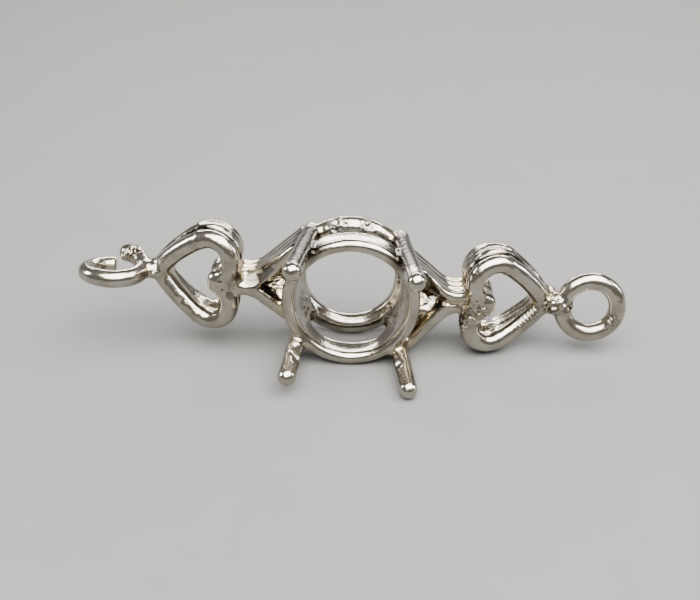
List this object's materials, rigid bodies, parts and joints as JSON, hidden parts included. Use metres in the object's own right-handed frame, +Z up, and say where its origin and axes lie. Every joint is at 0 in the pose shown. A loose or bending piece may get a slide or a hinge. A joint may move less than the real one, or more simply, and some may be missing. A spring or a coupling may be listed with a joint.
{
  "type": "bracelet link setting",
  "caption": "Bracelet link setting for a round stone: a pronged basket between two open hearts, with a closed ring at one end and an opened ring at the other.",
  "frame": {"origin": "middle of the bottom of the link's box, on the surface that the link stands on", "axes": "+X along the link, from the open ring to the closed ring; +Z up from the surface; the stone's axis and the prongs point towards -Y and 3.3 degrees up. The link stands on its long edge, on both rails and on the tip of the lower right prong, rolled 4.4 degrees towards the closed ring"},
  "size_m": [0.0369, 0.0096, 0.0096],
  "materials": {
    "silver": "polished cast sterling silver, darker in the recesses and rough at the soldered joints"
  },
  "bodies": {
    "root": {"link_casting": "silver"}
  },
  "joints": []
}
